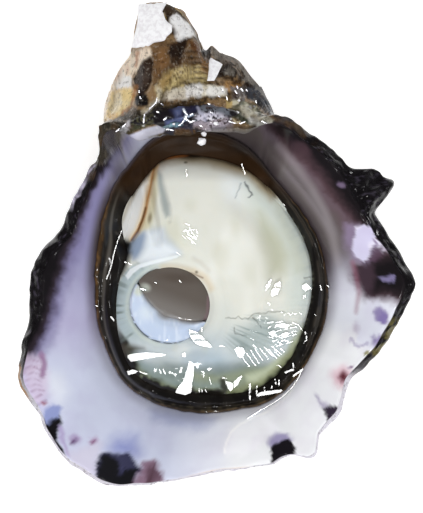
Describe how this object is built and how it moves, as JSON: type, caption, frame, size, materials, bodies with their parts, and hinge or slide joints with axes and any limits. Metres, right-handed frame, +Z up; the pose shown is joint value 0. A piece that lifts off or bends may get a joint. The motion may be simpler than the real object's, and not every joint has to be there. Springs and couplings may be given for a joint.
{
  "type": "oyster on the half shell",
  "caption": "Raw oyster on the half shell, seen from above: deep fluted lower valve with a chalky beak, plump pale body, dark frilled mantle, cut muscle and torn ligament.",
  "frame": {"origin": "middle of the flat spot that the cup rests on, under the middle of the flesh", "axes": "+Z up out of the cup, +Y from the middle to the beak, +X to the right of a viewer who looks down with the beak away"},
  "size_m": [0.0813, 0.1009, 0.0283],
  "materials": {
    "shell": "wet nacre inside, chalky and craggy outside",
    "body": "wet flesh",
    "mantle": "wet flesh",
    "muscle_grey": "wet flesh",
    "muscle_white": "wet flesh",
    "ligament": "wet"
  },
  "bodies": {
    "root": {"shell": "shell", "body": "body", "mantle": "mantle", "muscle_grey": "muscle_grey", "muscle_white": "muscle_white", "ligament": "ligament"}
  },
  "joints": []
}
